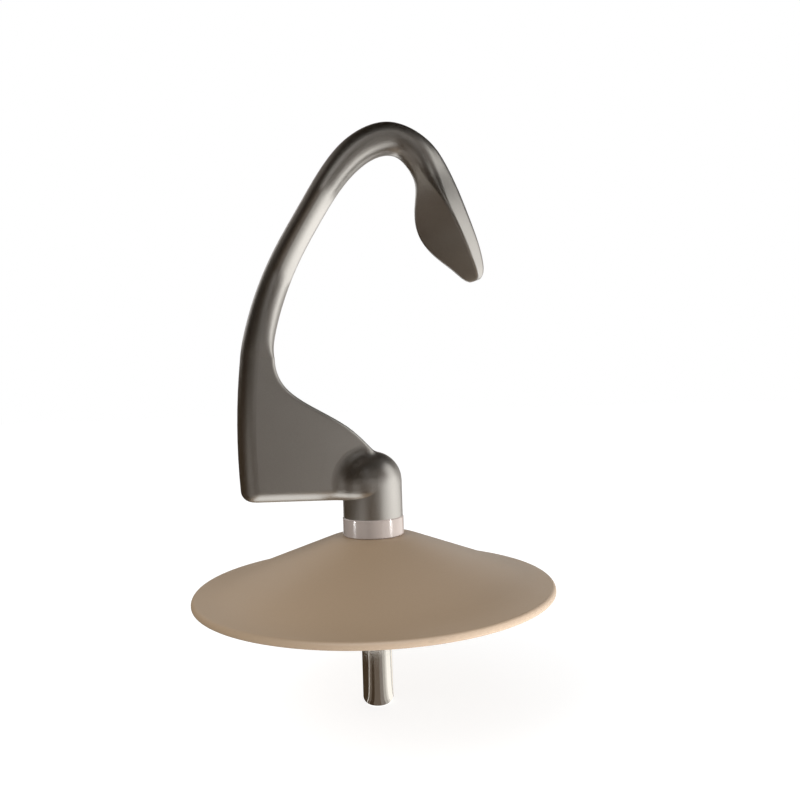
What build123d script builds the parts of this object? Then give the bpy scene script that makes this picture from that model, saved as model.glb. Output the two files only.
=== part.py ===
from build123d import *
import os
from math import cos, radians, sin, tan

# Stand mixer dough hook, standing the way it is pictured: shaft down, hook up.
# All sizes in millimetres. +Z runs up the shaft, the hook lies in the XZ plane and its web reaches out to -X.
# Z = 0 is the shoulder of the shaft that seats against the machine's socket.

# Drive shaft
spigot_radius = 5.0  # turned end that goes into the socket
spigot_length = 21.2  # from the shoulder to the rounded end
spigot_round = 2.2  # rounding of the free end
shank_step = 1.0  # how much the shank above the shoulder is thicker all round
seat_depth = 13.0  # length of shank inside the boss
seat_gap = 0.02  # film of retaining compound around the shank
bore_relief = 0.8  # free space over the shank's end

# Drive pin, pressed across the shank
pin_radius = 2.0
pin_length = 22.0
pin_height = 8.0  # above the shoulder
pin_gap = 0.01
pin_chamfer = 0.4

# Hook boss
boss_foot = 40.0  # underside of the boss above the shoulder
boss_radius = 9.75
boss_shoulder = 11.4  # straight height below the dome
boss_stretch = 2.0  # how much longer it is cast above the web's lower edge, towards the web
dome_flat = 0.1  # flat left on top of the dome

# Glossy collar under the boss
collar_step = 0.25  # how far it stands out past the boss
collar_height = 6.0
collar_chamfer = 0.3
collar_gap = 0.05

# Dough shield under the collar
shield_radius = 58.2
shield_wall = 1.6
rim_round = 1.5  # rounding over the turned-down rim
rim_edge = 0.4  # rounding of its lower edge
cone_slope = 20.8  # degrees, between the crown and the brim
brim_width = 6.2
brim_slope = 8.3  # degrees
brim_blend = 36.0
crown_round = 16.0  # rounding from the flat crown into the cone
crown_flat = 3.6  # from the hub's wall to where the cone would leave the crown
hub_wall = 3.0
hub_length = 13.0
hub_gap = 0.03

# Hook web, with all heights taken from the boss's underside
web_thickness = 12.0  # at the outer edge
web_root = 8.0  # at the shaft's axis, because its sides draw in towards the boss
web_reach = 41.2  # outer edge at foot and top, from the shaft's axis
web_bow = 1.5  # how far the outer edge swells between them
web_top = 52.0  # where the web becomes the arm
web_foot = 5.5  # lower edge at the boss
web_foot_rise = 1.5  # lift of that edge at its far end
neck_width = 10.6  # web where the arm begins
nose_flat = 1.0  # flat left in the middle of the rounded outer edge
foot_radius = 3.8  # rounding of the lower edge
throat_radius = 1.2  # rounding of the hollow inner edge
throat_bend = (-23.2, 39.0)
throat_middle = (-6.6, 28.5)
throat_angle = 68  # degrees round the dome to where that edge runs into it
throat_sink = 1.7  # how deep inside the dome it ends
boss_blend = 6.5  # hollow where the boss swells out of the web

# Arm and blade, one row for each cross-section along the hook:
# place out from the axis, height, heading, width, thickness, twist,
# then the radii of the ridge (outer front corner), of the outer back corner and of the two inner corners
arm_sections = [
    (-34.75, 60.5, 80, 9.6, 11.7, 0, 5.3, 5.3, 3.6),
    (-31.8, 70.5, 70, 9.3, 11.2, 0, 4.8, 4.8, 4.3),
    (-26.6, 83.0, 61, 8.9, 10.8, 0, 4.4, 4.4, 4.3),
    (-17.4, 99.5, 58, 8.6, 10.4, 0, 4.2, 4.2, 4.2),
    (-8.3, 113.4, 51, 9.4, 10.4, 3, 4.5, 4.5, 4.5),
    (-0.4, 121.0, 35, 10.2, 10.4, 8, 4.7, 4.7, 4.7),
    (9.5, 124.5, 0, 10.6, 10.4, 22, 4.6, 4.6, 4.6),
    (18.7, 120.3, -46, 10.5, 11.0, 45, 4.5, 4.8, 4.4),
    (23.7, 112.6, -64, 10.5, 11.8, 60, 3.6, 4.6, 3.4),
    (25.5, 104.0, -71, 15.0, 11.0, 59, 1.5, 3.8, 1.7),
    (27.5, 96.0, -72, 18.0, 9.4, 59, 0.9, 3.2, 1.6),
    (31.5, 88.5, -72, 15.9, 7.6, 60, 0.8, 2.6, 1.8),
    (35.6, 82.4, -73, 10.6, 5.8, 60, 0.8, 2.0, 1.6),
    (37.1, 79.5, -73, 7.8, 4.4, 60, 0.8, 1.6, 1.4),
    (37.8, 77.6, -73, 3.4, 2.6, 60, 0.7, 0.9, 0.9),
]

os.makedirs("parts", exist_ok=True)

hook_plane = Plane(origin=(0, 0, boss_foot), x_dir=(1, 0, 0), z_dir=(0, -1, 0))
dome_height = boss_shoulder + boss_radius
shank_radius = spigot_radius + shank_step
seat_radius = shank_radius + seat_gap
throat_depth = boss_radius - throat_sink
throat_end = (
    throat_depth * cos(radians(throat_angle)),
    boss_shoulder + throat_depth * sin(radians(throat_angle)),
)

# the boss as it is cast, longer towards the web and with a round dome
with BuildPart() as cast_boss:
    with BuildSketch(Plane.XY.offset(boss_foot)):
        with Locations((-boss_stretch / 2, 0)):
            SlotCenterToCenter(boss_stretch, 2 * boss_radius)
    extrude(amount=dome_height)
    fillet(cast_boss.faces().sort_by(Axis.Z)[-1].edges(), boss_radius - dome_flat)

with BuildPart() as dough_hook:
    # the web is drawn in the hook's plane, down to the boss's underside
    with BuildSketch(hook_plane.offset(-web_thickness)):
        with BuildLine():
            base = Line((throat_end[0], 0), (-web_reach, 0))
            swell = (-web_reach - web_bow, (web_foot + web_top) / 2)
            outer = ThreePointArc(base @ 1, swell, (-web_reach, web_top))
            neck = Line(outer @ 1, (neck_width - web_reach, web_top))
            throat = Spline(
                neck @ 1,
                throat_bend,
                throat_middle,
                throat_end,
                tangents=[(0, -1), (0.72, -0.69)],
            )
            Line(throat @ 1, base @ 0)
        make_face()
    extrude(amount=2 * web_thickness)
    # seen from above it is a wedge, thickest at the outer edge
    with BuildSketch(Plane.XY.offset(boss_foot)):
        with BuildLine():
            Polyline(
                (-2 * web_reach, web_root / 2 - web_thickness),
                (-2 * web_reach, web_thickness - web_root / 2),
                (web_reach, web_root - web_thickness / 2),
                (web_reach, web_thickness / 2 - web_root),
                close=True,
            )
        make_face()
    extrude(amount=web_top, mode=Mode.INTERSECT)
    fillet(dough_hook.edges().filter_by(GeomType.BSPLINE), throat_radius)
    fillet(dough_hook.edges().filter_by(GeomType.ELLIPSE), (web_thickness - nose_flat) / 2)
    neck_face = dough_hook.faces().sort_by(Axis.Z)[-1]

    # the boss swells out of both sides of the web
    add(cast_boss.part)
    seam = dough_hook.edges(Select.NEW)
    seam_above = seam.filter_by_position(Axis.Z, boss_foot + web_foot / 2, boss_foot + dome_height)
    fillet(seam_above, boss_blend)

    # the web stops short of the boss's underside, and its lower edge is rounded
    with BuildSketch(hook_plane.offset(-web_thickness)):
        with BuildLine():
            Polyline(
                (web_reach, 0),
                (web_reach, web_foot - web_foot_rise),
                (-2 * web_reach, web_foot + 2 * web_foot_rise),
                (-2 * web_reach, 0),
                close=True,
            )
        make_face()
    extrude(amount=2 * web_thickness, mode=Mode.SUBTRACT)
    underside = dough_hook.faces().filter_by(GeomType.PLANE).sort_by(Axis.Z)[0]
    fillet(underside.edges(), foot_radius)

    # below that edge the boss is turned round
    with BuildSketch(Plane.XY.offset(boss_foot)):
        Circle(boss_radius)
    extrude(amount=boss_shoulder)

    # the arm and the blade grow out of the web's neck through the listed cross-sections
    add(neck_face)
    for place, height, heading, width, thickness, twist, ridge, outer_back, inner in arm_sections:
        along = radians(heading)
        turn = radians(twist)
        station = Plane(
            origin=(place, 0, boss_foot + height),
            x_dir=(-sin(along) * cos(turn), -sin(turn), cos(along) * cos(turn)),
            z_dir=(cos(along), 0, sin(along)),
        )
        with BuildSketch(station) as section:
            Rectangle(width, thickness)
            inner_corners = section.vertices().group_by(Axis.X)[0]
            fillet(inner_corners, inner)
            outer_corners = section.vertices().group_by(Axis.X)[-1].sort_by(Axis.Y)
            fillet(outer_corners[0], outer_back)
            ridge_corner = section.vertices().group_by(Axis.X)[-1].sort_by(Axis.Y)[-1]
            fillet(ridge_corner, ridge)
    loft()

    # blind bore for the shaft
    with BuildSketch(Plane.XY.offset(boss_foot)):
        Circle(seat_radius)
    extrude(amount=seat_depth + bore_relief, mode=Mode.SUBTRACT)

dough_hook.part.label = "dough_hook"
export_step(dough_hook.part, "parts/dough_hook.step")

with BuildPart() as drive_shaft:
    shank_top = boss_foot + seat_depth
    with BuildSketch(Plane.XZ):
        with BuildLine():
            Polyline(
                (0, -spigot_length),
                (spigot_radius, -spigot_length),
                (spigot_radius, 0),
                (shank_radius, 0),
                (shank_radius, shank_top),
                (0, shank_top),
                close=True,
            )
        make_face()
    revolve(axis=Axis.Z)
    rounds = drive_shaft.edges().filter_by(GeomType.CIRCLE).sort_by(Axis.Z)
    fillet(rounds[0], spigot_round)
    shank_ends = drive_shaft.edges().filter_by(GeomType.CIRCLE).group_by(SortBy.RADIUS)[-1]
    chamfer(shank_ends, shank_step / 2)
    with BuildSketch(Plane.XZ.offset(-shank_radius)):
        with Locations((0, pin_height)):
            Circle(pin_radius + pin_gap)
    extrude(amount=2 * shank_radius, mode=Mode.SUBTRACT)

drive_shaft.part.label = "drive_shaft"
export_step(drive_shaft.part, "parts/drive_shaft.step")

with BuildPart() as drive_pin:
    with BuildSketch(Plane.XZ.offset(-pin_length / 2)):
        with Locations((0, pin_height)):
            Circle(pin_radius)
    extrude(amount=pin_length)
    chamfer(drive_pin.edges().filter_by(GeomType.CIRCLE), pin_chamfer)

drive_pin.part.label = "drive_pin"
export_step(drive_pin.part, "parts/drive_pin.step")

with BuildPart() as shield_collar:
    with BuildSketch(Plane.XY.offset(boss_foot - collar_height)):
        Circle(boss_radius + collar_step)
        Circle(shank_radius + collar_gap, mode=Mode.SUBTRACT)
    extrude(amount=collar_height)
    outer_rings = shield_collar.edges().filter_by(GeomType.CIRCLE).group_by(SortBy.RADIUS)[-1]
    chamfer(outer_rings, collar_chamfer)

shield_collar.part.label = "shield_collar"
export_step(shield_collar.part, "parts/shield_collar.step")

with BuildPart() as dough_shield:
    crown = boss_foot - collar_height
    hub_bore = shank_radius + hub_gap
    hub_radius = hub_bore + hub_wall
    crown_radius = hub_radius + crown_flat
    brim_radius = shield_radius - brim_width
    brim_top = crown - (brim_radius - crown_radius) * tan(radians(cone_slope))
    rim_top = brim_top - brim_width * tan(radians(brim_slope))
    rim_height = rim_round + rim_edge
    with BuildSketch(Plane.XZ) as profile:
        with BuildLine():
            Polyline(
                (hub_bore, crown),
                (crown_radius, crown),
                (brim_radius, brim_top),
                (shield_radius, rim_top),
                (shield_radius, rim_top - rim_height),
                (shield_radius - shield_wall, rim_top - rim_height),
                (shield_radius - shield_wall, rim_top - shield_wall),
                (brim_radius, brim_top - shield_wall),
                (crown_radius, crown - shield_wall),
                (hub_radius, crown - shield_wall),
                (hub_radius, crown - hub_length),
                (hub_bore, crown - hub_length),
                close=True,
            )
        make_face()
        for level in (0, -shield_wall):
            fillet(profile.vertices().sort_by_distance((crown_radius, crown + level))[0], crown_round)
            fillet(profile.vertices().sort_by_distance((brim_radius, brim_top + level))[0], brim_blend)
        fillet(profile.vertices().sort_by_distance((shield_radius, rim_top))[0], rim_round)
        fillet(profile.vertices().sort_by_distance((shield_radius, rim_top - rim_height))[0], rim_edge)
    revolve(axis=Axis.Z)

dough_shield.part.label = "dough_shield"
export_step(dough_shield.part, "parts/dough_shield.step")
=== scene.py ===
# %% [markdown]
# A stand mixer's dough hook, pictured standing on its drive shaft: a cast aluminium hook, a steel shaft,
# a wide plastic shield that keeps dough out of the machine, and a glossy ring between hook and shield.
# The shapes come from the imported model, so this lesson is about finishes, light and the camera.
# The frame is loaded first, because every later step is placed by it. Its box is kept for the floor's
# height.

# %% Load the imported model
from math import cos, radians, sin

import bmesh
import bpy
from mathutils import Matrix, Vector


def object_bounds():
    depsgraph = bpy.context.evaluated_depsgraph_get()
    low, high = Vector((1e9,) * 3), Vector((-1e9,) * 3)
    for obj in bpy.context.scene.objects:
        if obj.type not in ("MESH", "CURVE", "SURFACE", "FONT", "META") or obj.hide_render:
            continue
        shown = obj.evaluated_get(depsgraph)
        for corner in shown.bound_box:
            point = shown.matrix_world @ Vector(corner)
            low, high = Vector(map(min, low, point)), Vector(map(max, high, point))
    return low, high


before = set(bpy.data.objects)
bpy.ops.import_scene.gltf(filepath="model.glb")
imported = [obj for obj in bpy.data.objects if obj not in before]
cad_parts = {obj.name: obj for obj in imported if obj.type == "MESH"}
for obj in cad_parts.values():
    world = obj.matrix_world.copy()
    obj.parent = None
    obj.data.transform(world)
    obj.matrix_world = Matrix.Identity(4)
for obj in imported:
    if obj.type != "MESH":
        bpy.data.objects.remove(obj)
cad_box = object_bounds()
print("pieces:", ", ".join(sorted(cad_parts)))

# %% [markdown]
# The camera stands level, a little over twenty centimetres from the shaft, and the hook is turned so that
# its web comes nearer than its blade. A camera can be aimed with a constraint, but then its lean is
# awkward. Here its three directions are written down and set as a matrix, which says the aim and the lean
# at once.

# %% Place the camera
CAMERA_TURN = radians(13)
CAMERA_LEAN = radians(1.75)
# in metres
CAMERA_PLACE = Vector((-0.04206, -0.22665, 0.07774))
NEAREST_SIGHT = 0.01
# in millimetres
SENSOR_WIDTH = 36.0
FOCAL_LENGTH = 31.5

up = Vector((0, 0, 1))
ahead = Vector((sin(CAMERA_TURN), cos(CAMERA_TURN), 0))
rightward = Vector((cos(CAMERA_TURN), -sin(CAMERA_TURN), 0))

lens = bpy.data.cameras.new("photo_camera")
lens.sensor_width = SENSOR_WIDTH
lens.lens = FOCAL_LENGTH
lens.clip_start = NEAREST_SIGHT
camera = bpy.data.objects.new("photo_camera", lens)
bpy.context.scene.collection.objects.link(camera)
camera_right = rightward * cos(CAMERA_LEAN) - up * sin(CAMERA_LEAN)
camera_up = rightward * sin(CAMERA_LEAN) + up * cos(CAMERA_LEAN)
axes = Matrix((camera_right, camera_up, -ahead)).transposed()
camera.matrix_world = Matrix.Translation(CAMERA_PLACE) @ axes.to_4x4()
bpy.context.scene.camera = camera
print("camera stands", round(CAMERA_PLACE.xy.length, 3), "m from the shaft")

# %% [markdown]
# Around the hook everything is white, as in a photographer's light tent. The world does that for what the
# camera sees and for what the metal mirrors, and gives plain, weaker light to matt surfaces.
# World sampling is off, so that these three uses stay apart and the render stays free of speckle.

# %% White surroundings
SOFT_LIGHT_LEVEL = 0.55


def add_node(tree, kind, place, **settings):
    """Adds a node at a place on the node sheet and sets its options."""
    node = tree.nodes.new(kind)
    node.location = place
    for name, value in settings.items():
        setattr(node, name, value)
    return node


def seen_or_mirrored(tree):
    """A socket that is 1 for what the camera, a reflection or a glass sees, and 0 for matt light."""
    path = add_node(tree, "ShaderNodeLightPath", (-900, 0))
    seen = add_node(tree, "ShaderNodeMath", (-700, 0), operation="MAXIMUM")
    any_view = add_node(tree, "ShaderNodeMath", (-520, 0), operation="MAXIMUM")
    tree.links.new(path.outputs["Is Camera Ray"], seen.inputs[0])
    tree.links.new(path.outputs["Is Glossy Ray"], seen.inputs[1])
    tree.links.new(seen.outputs[0], any_view.inputs[0])
    tree.links.new(path.outputs["Is Transmission Ray"], any_view.inputs[1])
    return any_view.outputs[0]


world = bpy.data.worlds.new("white_tent")
world.use_nodes = True
world.cycles.sampling_method = "NONE"
bpy.context.scene.world = world
sheet = world.node_tree
level = add_node(sheet, "ShaderNodeMapRange", (-300, 0))
level.inputs["To Min"].default_value = SOFT_LIGHT_LEVEL
sheet.links.new(seen_or_mirrored(sheet), level.inputs["Value"])
sheet.links.new(level.outputs["Result"], sheet.nodes["Background"].inputs["Strength"])
sheet.nodes["Background"].inputs["Color"].default_value = (1, 1, 1, 1)
bpy.context.scene.view_settings.view_transform = "Standard"
print("surroundings white, soft light level", SOFT_LIGHT_LEVEL)

# %% [markdown]
# The floor is a wide pale disc at the shaft's end. Part of its white is its own glow, so it stays white up
# to the horizon. The rest is light that falls on it, and that part is missing under the hook: its soft
# shadow.

# %% Pale floor
FLOOR_RADIUS = 6.0
FLOOR_SIDES = 96
FLOOR_GLOW = 0.80
FLOOR_BOUNCE = 0.35
FLOOR_PALE = (0.40, 0.40, 0.40, 1)
FLOOR_DROP = 0.0001

floor_height = cad_box[0].z - FLOOR_DROP


def stage_piece(name, mesh):
    """Puts a mesh into the scene as part of the studio."""
    piece = bpy.data.objects.new(name, mesh)
    bpy.context.scene.collection.objects.link(piece)
    return piece


disc = bmesh.new()
bmesh.ops.create_circle(disc, cap_ends=True, segments=FLOOR_SIDES, radius=FLOOR_RADIUS)
bmesh.ops.translate(disc, verts=disc.verts, vec=(0, 0, floor_height))
floor_mesh = bpy.data.meshes.new("floor")
disc.to_mesh(floor_mesh)
disc.free()
stage_piece("floor", floor_mesh)

floor_paint = bpy.data.materials.new("floor_paint")
floor_paint.use_nodes = True
floor_paint.cycles.emission_sampling = "NONE"
sheet = floor_paint.node_tree
paint = sheet.nodes["Principled BSDF"]
paint.inputs["Base Color"].default_value = FLOOR_PALE
paint.inputs["Roughness"].default_value = 1
paint.inputs["Specular IOR Level"].default_value = 0
paint.inputs["Emission Color"].default_value = (1, 1, 1, 1)
glow = add_node(sheet, "ShaderNodeMapRange", (-300, -250))
glow.inputs["To Min"].default_value = FLOOR_BOUNCE
glow.inputs["To Max"].default_value = FLOOR_GLOW
sheet.links.new(seen_or_mirrored(sheet), glow.inputs["Value"])
sheet.links.new(glow.outputs["Result"], paint.inputs["Emission Strength"])
floor_mesh.materials.append(floor_paint)
print("floor at", round(floor_height * 1000, 1), "mm")

# %% [markdown]
# Metal looks like what stands around it, and in an all white tent it would look flat. A photographer hangs
# up cards to draw its form. These are patches of a large ball round the hook, cut by compass direction and
# height, so each patch shades one side of every curve. Three hang nearer, to darken the top bend.
# Only reflections see the cards, so they cast no shadow.

# %% Cards for the metal
# in metres
CARD_CENTRE = Vector((0, 0, 0.08))
CARD_DISTANCE = 0.62
NEAR_DISTANCE = 0.13
# in degrees
CARD_STEP = 5
CARD_SHADES = {
    "black": (0.014, 0.010, 0.007),
    "brown": (0.052, 0.036, 0.023),
    "dusk": (0.135, 0.11, 0.09),
    "dim": (0.22, 0.20, 0.185),
    "grey": (0.46, 0.45, 0.43),
    "pale": (0.76, 0.75, 0.73),
    "white": (1.12, 1.12, 1.10),
    "bright": (1.50, 1.50, 1.48),
}
# shade, then compass from the camera's side towards its right hand, and height over the horizon, in degrees
HUNG_CARDS = [
    ("black", (-180, 180), (60, 90)),
    ("dim", (-180, -66), (40, 60)),
    ("black", (-66, 80), (40, 60)),
    ("black", (80, 110), (46, 60)),
    ("black", (110, 180), (24, 60)),
    ("grey", (-125, -108), (10, 40)),
    ("brown", (-180, -108), (-10, 10)),
    ("black", (-108, -45), (6, 40)),
    ("brown", (-108, -45), (-10, 6)),
    ("black", (-45, 34), (6, 22)),
    ("grey", (-45, -20), (-10, -2)),
    ("dusk", (-20, -8), (-10, -2)),
    ("brown", (-45, -8), (-2, 6)),
    ("dim", (-8, 32), (-10, 4)),
    ("dusk", (32, 38), (-10, 4)),
    ("brown", (-45, -6), (22, 40)),
    ("pale", (-8, 18), (22, 36)),
    ("brown", (18, 34), (22, 40)),
    ("dim", (34, 60), (6, 40)),
    ("dusk", (38, 54), (-4, 6)),
    ("bright", (68, 112), (-10, 4)),
    ("white", (76, 110), (4, 46)),
    ("grey", (112, 180), (-10, 10)),
    ("dim", (112, 180), (10, 24)),
]
NEAR_CARDS = [
    ("black", (-12, 20), (14, 26)),
    ("brown", (20, 50), (12, 36)),
    ("dusk", (50, 66), (-3, 28)),
]


def studio_direction(compass, height):
    """A direction from the hook, with the compass turned to the camera."""
    flat = rightward * sin(radians(compass)) - ahead * cos(radians(compass))
    return flat * cos(radians(height)) + up * sin(radians(height))


def steps(span):
    """Values that divide a range into even steps."""
    count = max(1, round((span[1] - span[0]) / CARD_STEP))
    return [span[0] + (span[1] - span[0]) * step / count for step in range(count + 1)]


def add_grid(card, rows):
    """Joins rows of places to faces."""
    rows = [[card.verts.new(place) for place in row] for row in rows]
    for row, next_row in zip(rows, rows[1:]):
        for corner in range(len(row) - 1):
            card.faces.new((row[corner], row[corner + 1], next_row[corner + 1], next_row[corner]))


def hang_card(name, shade, grids):
    """Puts up cards of one shade so that only reflections see them."""
    paint = bpy.data.materials.new(name)
    paint.use_nodes = True
    paint.cycles.emission_sampling = "NONE"
    nodes = paint.node_tree.nodes
    nodes.remove(nodes["Principled BSDF"])
    tone = add_node(paint.node_tree, "ShaderNodeEmission", (0, 0))
    tone.inputs["Color"].default_value = (*CARD_SHADES[shade], 1)
    paint.node_tree.links.new(tone.outputs["Emission"], nodes["Material Output"].inputs["Surface"])
    card = bmesh.new()
    for rows in grids:
        add_grid(card, rows)
    mesh = bpy.data.meshes.new(name)
    card.to_mesh(mesh)
    card.free()
    mesh.materials.append(paint)
    piece = stage_piece(name, mesh)
    piece.visible_camera = False
    piece.visible_diffuse = False
    piece.visible_transmission = False
    piece.visible_shadow = False
    print(name, len(mesh.polygons), "faces")
    return piece


def hang_by_shade(kind, cards):
    """Puts up many cards, each a shade and its rows of places, with one piece for each shade."""
    for shade in CARD_SHADES:
        grids = [rows for card_shade, rows in cards if card_shade == shade]
        if grids:
            hang_card(f"{kind}_{shade}_cards", shade, grids)


def ball_patch(compass_span, height_span, distance):
    """Rows of places on a ball round the hook."""
    return [
        [CARD_CENTRE + studio_direction(compass, height) * distance for compass in steps(compass_span)]
        for height in steps(height_span)
    ]


far_cards = [(shade, ball_patch(compass, height, CARD_DISTANCE)) for shade, compass, height in HUNG_CARDS]
near_cards = [(shade, ball_patch(compass, height, NEAR_DISTANCE)) for shade, compass, height in NEAR_CARDS]
hang_by_shade("hung", far_cards + near_cards)

# %% [markdown]
# Low down, the floor itself would shine into the metal from all sides. Cards that lie on it keep the left
# dark and the right subdued. A ring of them under the shield gives the polished shaft its bands: the thin
# bright line is a slit between two of them, where the floor shows.

# %% Cards on the floor
CARD_LIFT = 0.0004
# shade, compass range in degrees, then nearest and farthest edge from the shaft in metres
LYING_CARDS = [
    ("brown", (-150, -62), (0.060, 0.70)),
    ("dim", (-62, -20), (0.060, 0.60)),
    ("brown", (-20, 16), (0.060, 0.60)),
    ("dusk", (16, 26), (0.060, 0.60)),
    ("dim", (26, 36), (0.14, 0.60)),
    ("brown", (26, 54), (0.060, 0.14)),
    ("white", (36, 62), (0.14, 0.60)),
    ("brown", (54, 130), (0.060, 0.17)),
    ("bright", (62, 138), (0.22, 0.62)),
    ("dim", (140, 180), (0.060, 0.70)),
]
RING_REACH = (0.002, 0.056)
# shade and compass range of the cards under the shield
RING_CARDS = [
    ("brown", (-180, -63)),
    ("dusk", (-60, -42)),
    ("brown", (-42, -22)),
    ("dusk", (-22, 14)),
    ("dim", (14, 36)),
    ("grey", (36, 54)),
    ("pale", (54, 66)),
    ("white", (66, 110)),
    ("grey", (110, 119)),
]


def floor_patch(compass_span, reach):
    """Rows of places just over the floor."""
    base = Vector((0, 0, floor_height + CARD_LIFT))
    return [
        [base + studio_direction(compass, 0) * distance for compass in steps(compass_span)]
        for distance in reach
    ]


lying_cards = [(shade, floor_patch(compass, reach)) for shade, compass, reach in LYING_CARDS]
ring_cards = [(shade, floor_patch(compass, RING_REACH)) for shade, compass in RING_CARDS]
hang_by_shade("lying", lying_cards + ring_cards)

# %% [markdown]
# The underside of the web looks straight down at the shield, yet the photo shows it white there, as if a
# sheet of paper lay on the shield. This one is a cone just over it. It is clear from below, so the shield
# stays plain.

# %% Paper over the shield
PAPER_COMPASS = (-84, -22)
# distance from the shaft and height, in metres, of the paper's outer and inner edge
PAPER_EDGES = [(0.047, 0.0225), (0.0155, 0.0344)]


def clear_behind(card):
    """Makes a card clear when it is seen from its back."""
    sheet = card.data.materials[0].node_tree
    side = add_node(sheet, "ShaderNodeNewGeometry", (-200, 200))
    clear = add_node(sheet, "ShaderNodeBsdfTransparent", (0, -150))
    choice = add_node(sheet, "ShaderNodeMixShader", (200, 0))
    sheet.links.new(side.outputs["Backfacing"], choice.inputs["Fac"])
    sheet.links.new(sheet.nodes["Emission"].outputs["Emission"], choice.inputs[1])
    sheet.links.new(clear.outputs["BSDF"], choice.inputs[2])
    sheet.links.new(choice.outputs["Shader"], sheet.nodes["Material Output"].inputs["Surface"])


rows = [
    [studio_direction(compass, 0) * reach + up * height for compass in steps(PAPER_COMPASS)]
    for reach, height in PAPER_EDGES
]
clear_behind(hang_card("paper_sheet", "white", [rows]))

# %% [markdown]
# The arm's right side is bright in the photo, though the cards in front of it are dark. They can't be made
# lighter, because the top bend mirrors them too. So a sleeve of graded cards stands close beside the arm,
# clear from outside, and its light falls only inwards. A dusky cover round the sleeve is clear from inside,
# and keeps the blade from mirroring the bright arm.

# %% Sleeve beside the arm
# in metres
SLEEVE_DISTANCE = 0.014
COVER_GAP = 0.0005
# places on the arm's axis, in metres, at the sleeve's upper and lower end
SLEEVE_ENDS = (Vector((-0.0117, 0, 0.1478)), Vector((-0.0268, 0, 0.1206)))
# the cover's lower and upper end, in this order because its faces look the other way
COVER_ENDS = (Vector((-0.0292, 0, 0.1163)), Vector((-0.0080, 0, 0.1545)))
# range in degrees round the arm, from its front towards its right
COVER_SPAN = (-60, 185)
# shade, then the range round the arm
SLEEVE_CARDS = [
    ("black", (-60, -40)),
    ("brown", (-40, -26)),
    ("dusk", (-26, -14)),
    ("dim", (-14, -3)),
    ("grey", (-3, 9)),
    ("pale", (9, 24)),
    ("white", (24, 42)),
    ("bright", (42, 125)),
]

arm_front = Vector((0, -1, 0))
arm_right = (SLEEVE_ENDS[0] - SLEEVE_ENDS[1]).normalized().cross(arm_front)


def sleeve_row(end, turn_span, distance):
    """Places round the arm at one end of the sleeve or its cover."""
    return [
        end + distance * (cos(radians(turn)) * arm_front + sin(radians(turn)) * arm_right)
        for turn in steps(turn_span)
    ]


for shade, turn_span in SLEEVE_CARDS:
    rows = [sleeve_row(end, turn_span, SLEEVE_DISTANCE) for end in SLEEVE_ENDS]
    clear_behind(hang_card(f"sleeve_{shade}_card", shade, [rows]))
rows = [sleeve_row(end, COVER_SPAN, SLEEVE_DISTANCE + COVER_GAP) for end in COVER_ENDS]
clear_behind(hang_card("sleeve_cover", "dusk", [rows]))

# %% [markdown]
# One broad lamp overhead lights the plastic and drops a soft shadow to the floor. Two small ones on the
# right brighten the ring's right side and the shield's rim. Metal would show them as bright patches that
# the real hook doesn't have, so reflections leave them out. Four more lamps work the other way round, and
# only gloss shows them: two tubes draw the upright lines on the ring, and two broad ones give the shield
# its sheen.

# %% Lamps
# places and distances in metres
OVERHEAD_PLACE = Vector((-0.75, -0.36, 0.78))
FRAME_ORIGIN = Vector((0, 0, 0))
RING_HEIGHT = Vector((0, 0, 0.037))
RIM_HEIGHT = Vector((0, 0, 0.018))
LOW_DISTANCE = 0.32
RIM_DISTANCE = 0.17
SHEEN_DISTANCE = 0.60
TUBE_DISTANCE = 0.40
# side, compass and height in degrees, and power in watts
SHEEN_LAMPS = [("front", 0, 62, 2.6), ("back", 158, 23, 0.5)]
TUBES = [("left", -71, -4, 7.0), ("right", 71, -4, 7.0)]
WHITE = (1, 1, 1)
COOL = (0.74, 0.82, 1.0)


def add_lamp(name, place, aim, size, power, only_on=None, mirrored=False, tint=WHITE):
    """Adds a lamp for matt surfaces, or one that shiny ones mirror, for all pieces or only for one."""
    data = bpy.data.lights.new(name, "AREA")
    data.shape = "RECTANGLE"
    data.size, data.size_y = size
    data.energy = power
    data.color = tint
    lamp = bpy.data.objects.new(name, data)
    lamp.location = place
    lamp.rotation_euler = (aim - place).to_track_quat("-Z", "Y").to_euler()
    lamp.visible_camera = False
    lamp.visible_diffuse = not mirrored
    lamp.visible_glossy = mirrored
    if only_on:
        lit = bpy.data.collections.new(name + "_lit")
        lit.objects.link(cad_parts[only_on])
        lamp.light_linking.receiver_collection = lit
    bpy.context.scene.collection.objects.link(lamp)
    print(name, "at", [round(v, 2) for v in place])


add_lamp("overhead_lamp", OVERHEAD_PLACE, FRAME_ORIGIN, size=(0.9, 0.9), power=7.0)
place = studio_direction(compass=84, height=-5) * LOW_DISTANCE + RING_HEIGHT
add_lamp("low_lamp", place, RING_HEIGHT, size=(0.05, 0.05), power=1.4, only_on="shield_collar")
place = studio_direction(compass=54, height=-12) * RIM_DISTANCE + RIM_HEIGHT
add_lamp("rim_lamp", place, RIM_HEIGHT, size=(0.24, 0.006), power=0.75, only_on="dough_shield", tint=COOL)
for side, compass, height, power in SHEEN_LAMPS:
    place = studio_direction(compass, height) * SHEEN_DISTANCE
    add_lamp(side + "_sheen_lamp", place, RIM_HEIGHT, (0.50, 0.20), power, "dough_shield", mirrored=True)
for side, compass, height, power in TUBES:
    place = studio_direction(compass, height) * TUBE_DISTANCE + RING_HEIGHT
    add_lamp(side + "_tube", place, RING_HEIGHT, (0.05, 0.30), power, "shield_collar", mirrored=True)

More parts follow.
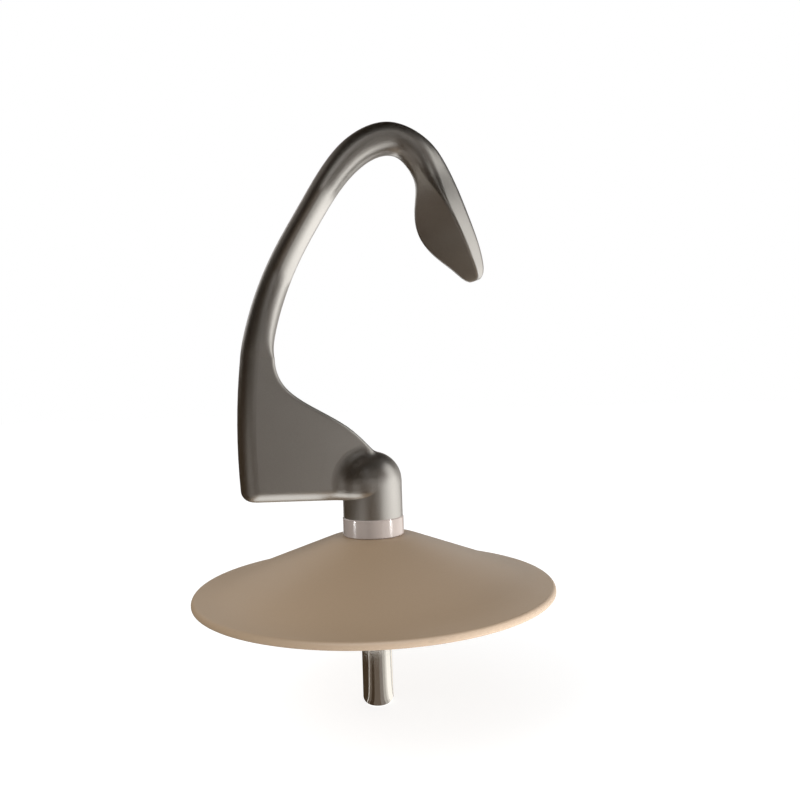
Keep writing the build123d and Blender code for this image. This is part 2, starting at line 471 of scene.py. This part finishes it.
# %% [markdown]
# No made surface has one even colour. Castings and mouldings drift a little in tone from place to place,
# and carry a fine grain. Both come from noise on the piece's own coordinates. Every finish here needs it,
# so it is a node group: it takes a colour, with a scale and an amount for each noise, and gives back the
# varied colour and the two noises.

# %% Node group for mottled surfaces
NOISE_MIDDLE = 0.5
DRIFT_DETAIL = 4
GRAIN_DETAIL = 2


def add_sockets(group, direction, kind, names):
    """Adds named sockets of one kind to a node group."""
    for name in names:
        group.interface.new_socket(name=name, in_out=direction, socket_type=kind)


def noise_in(tree, coordinate, scale, detail, place):
    """Adds a noise that reads a coordinate and takes its scale from a socket."""
    noise = add_node(tree, "ShaderNodeTexNoise", place)
    noise.inputs["Detail"].default_value = detail
    tree.links.new(coordinate, noise.inputs["Vector"])
    tree.links.new(scale, noise.inputs["Scale"])
    return noise.outputs["Fac"]


def centred(tree, value, amount, place):
    """Adds the sum that turns a noise of 0 to 1 into a swing about zero."""
    shift = add_node(tree, "ShaderNodeMath", place, operation="SUBTRACT")
    shift.inputs[1].default_value = NOISE_MIDDLE
    swing = add_node(tree, "ShaderNodeMath", (place[0] + 180, place[1]), operation="MULTIPLY")
    tree.links.new(value, shift.inputs[0])
    tree.links.new(shift.outputs[0], swing.inputs[0])
    tree.links.new(amount, swing.inputs[1])
    return swing.outputs[0]


mottle = bpy.data.node_groups.new("surface_mottle", "ShaderNodeTree")
noise_sizes = ["Drift Scale", "Drift Amount", "Grain Scale", "Grain Amount"]
add_sockets(mottle, "INPUT", "NodeSocketColor", ["Colour"])
add_sockets(mottle, "INPUT", "NodeSocketFloat", noise_sizes)
add_sockets(mottle, "OUTPUT", "NodeSocketColor", ["Colour"])
add_sockets(mottle, "OUTPUT", "NodeSocketFloat", ["Drift", "Grain"])
taken = add_node(mottle, "NodeGroupInput", (-900, 0))
given = add_node(mottle, "NodeGroupOutput", (600, 0))
where = add_node(mottle, "ShaderNodeTexCoord", (-900, -300)).outputs["Object"]
drift = noise_in(mottle, where, taken.outputs["Drift Scale"], DRIFT_DETAIL, (-650, 200))
grain = noise_in(mottle, where, taken.outputs["Grain Scale"], GRAIN_DETAIL, (-650, -200))
drift_swing = centred(mottle, drift, taken.outputs["Drift Amount"], (-400, 200))
grain_swing = centred(mottle, grain, taken.outputs["Grain Amount"], (-400, -200))
both = add_node(mottle, "ShaderNodeMath", (0, 0), operation="ADD")
around_one = add_node(mottle, "ShaderNodeMath", (180, 0), operation="ADD")
around_one.inputs[1].default_value = 1
tint = add_node(mottle, "ShaderNodeHueSaturation", (380, 100))
mottle.links.new(drift_swing, both.inputs[0])
mottle.links.new(grain_swing, both.inputs[1])
mottle.links.new(both.outputs[0], around_one.inputs[0])
mottle.links.new(around_one.outputs[0], tint.inputs["Value"])
mottle.links.new(taken.outputs["Colour"], tint.inputs["Color"])
mottle.links.new(tint.outputs["Color"], given.inputs["Colour"])
mottle.links.new(drift, given.inputs["Drift"])
mottle.links.new(grain, given.inputs["Grain"])
print("group:", mottle.name)

# %% [markdown]
# A turned or ground piece carries fine rings round its axis, left by the tool. Noise that reads only the
# height gives rings at uneven spacing, which look more real than an even wave.

# %% Node group for turned rings
RING_DETAIL = 3

rings = bpy.data.node_groups.new("turned_rings", "ShaderNodeTree")
add_sockets(rings, "INPUT", "NodeSocketFloat", ["Ring Scale"])
add_sockets(rings, "OUTPUT", "NodeSocketFloat", ["Ring"])
taken = add_node(rings, "NodeGroupInput", (-700, 0))
given = add_node(rings, "NodeGroupOutput", (300, 0))
where = add_node(rings, "ShaderNodeTexCoord", (-700, -200)).outputs["Object"]
split = add_node(rings, "ShaderNodeSeparateXYZ", (-450, -200))
line = add_node(rings, "ShaderNodeTexNoise", (-150, 0), noise_dimensions="1D")
line.inputs["Detail"].default_value = RING_DETAIL
rings.links.new(where, split.inputs["Vector"])
rings.links.new(split.outputs["Z"], line.inputs["W"])
rings.links.new(taken.outputs["Ring Scale"], line.inputs["Scale"])
rings.links.new(line.outputs["Fac"], given.inputs["Ring"])
print("group:", rings.name)

# %% [markdown]
# The hook is cast aluminium, tumbled until it is satin smooth all over. That is metal of middle roughness:
# it shows soft light and dark bands but no sharp images. The grain swings its roughness a little and lifts
# it by hundredths of a millimetre, which breaks up the bands as a tumbled skin does.

# %% Cast aluminium for the hook
ALUMINIUM = (0.585, 0.56, 0.525, 1)
# noise seldom leaves this range
NOISE_RANGE = (0.25, 0.75)


def mottled_finish(name, colour, drift, grain, metallic=0):
    """Makes a material with the mottle group, given a scale and an amount for drift and for grain."""
    material = bpy.data.materials.new(name)
    material.use_nodes = True
    tree = material.node_tree
    shader = tree.nodes["Principled BSDF"]
    skin = add_node(tree, "ShaderNodeGroup", (-600, 0), node_tree=mottle)
    skin.inputs["Colour"].default_value = colour
    for socket, value in zip(noise_sizes, (*drift, *grain)):
        skin.inputs[socket].default_value = value
    tree.links.new(skin.outputs["Colour"], shader.inputs["Base Color"])
    shader.inputs["Metallic"].default_value = metallic
    return material, skin


def vary_roughness(material, value, low, high):
    """Lets a noise move the roughness between two values."""
    tree = material.node_tree
    span = add_node(tree, "ShaderNodeMapRange", (-300, -150))
    span.inputs["From Min"].default_value, span.inputs["From Max"].default_value = NOISE_RANGE
    span.inputs["To Min"].default_value = low
    span.inputs["To Max"].default_value = high
    tree.links.new(value, span.inputs["Value"])
    tree.links.new(span.outputs["Result"], tree.nodes["Principled BSDF"].inputs["Roughness"])


def raise_skin(material, value, height, strength):
    """Lets a noise raise the surface, with the height in metres."""
    tree = material.node_tree
    bump = add_node(tree, "ShaderNodeBump", (-300, -450))
    bump.inputs["Distance"].default_value = height
    bump.inputs["Strength"].default_value = strength
    tree.links.new(value, bump.inputs["Height"])
    tree.links.new(bump.outputs["Normal"], tree.nodes["Principled BSDF"].inputs["Normal"])


def dress(piece, material):
    """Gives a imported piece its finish."""
    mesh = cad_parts[piece].data
    mesh.materials.clear()
    mesh.materials.append(material)
    print(piece, "wears", material.name)


material, skin = mottled_finish(
    "cast_aluminium", ALUMINIUM, drift=(45, 0.10), grain=(2600, 0.16), metallic=1
)
vary_roughness(material, skin.outputs["Grain"], low=0.36, high=0.44)
raise_skin(material, skin.outputs["Grain"], height=0.00004, strength=0.25)
dress("dough_hook", material)

# %% [markdown]
# The shield is moulded in a warm, sand coloured plastic with a matt skin. Matt means a rough surface with a
# faint sheen, so the grain goes into the bump and the slow drift into the roughness.

# %% Matt plastic for the shield
SAND = (0.345, 0.245, 0.155, 1)

material, skin = mottled_finish("shield_plastic", SAND, drift=(22, 0.08), grain=(1800, 0.08))
vary_roughness(material, skin.outputs["Drift"], low=0.46, high=0.58)
raise_skin(material, skin.outputs["Grain"], height=0.00005, strength=0.2)
dress("dough_shield", material)

# %% [markdown]
# The ring between hook and shield is a pale, glossy plastic. Its gloss is a low roughness, and the bright
# lines on it are the two tubes.

# %% Glossy plastic for the collar
PALE_RING = (0.38, 0.326, 0.297, 1)

material, skin = mottled_finish("polished_collar", PALE_RING, drift=(150, 0.06), grain=(3000, 0.04))
vary_roughness(material, skin.outputs["Drift"], low=0.08, high=0.14)
dress("shield_collar", material)

# %% [markdown]
# The shaft is turned steel, polished until it mirrors its surroundings in upright bands. The rings of the
# turning tool swing its roughness and its height, so the bands have soft, slightly combed edges.

# %% Polished steel for the shaft
SHAFT_STEEL = (0.90, 0.86, 0.79, 1)
RING_SCALE = 5000

material, skin = mottled_finish(
    "polished_steel", SHAFT_STEEL, drift=(120, 0.08), grain=(4000, 0.05), metallic=1
)
turning = add_node(material.node_tree, "ShaderNodeGroup", (-800, -300), node_tree=rings)
turning.inputs["Ring Scale"].default_value = RING_SCALE
vary_roughness(material, turning.outputs["Ring"], low=0.10, high=0.20)
raise_skin(material, turning.outputs["Ring"], height=0.00001, strength=0.15)
dress("drive_shaft", material)

# %% [markdown]
# The drive pin is a length of ground steel, duller than the shaft. It sits under the shield, out of the
# photo's sight, and shows when the part is turned over.

# %% Ground steel for the drive pin
PIN_STEEL = (0.55, 0.53, 0.51, 1)

material, skin = mottled_finish(
    "pin_steel", PIN_STEEL, drift=(200, 0.08), grain=(5000, 0.12), metallic=1
)
vary_roughness(material, skin.outputs["Grain"], low=0.24, high=0.36)
raise_skin(material, skin.outputs["Grain"], height=0.00001, strength=0.2)
dress("drive_pin", material)
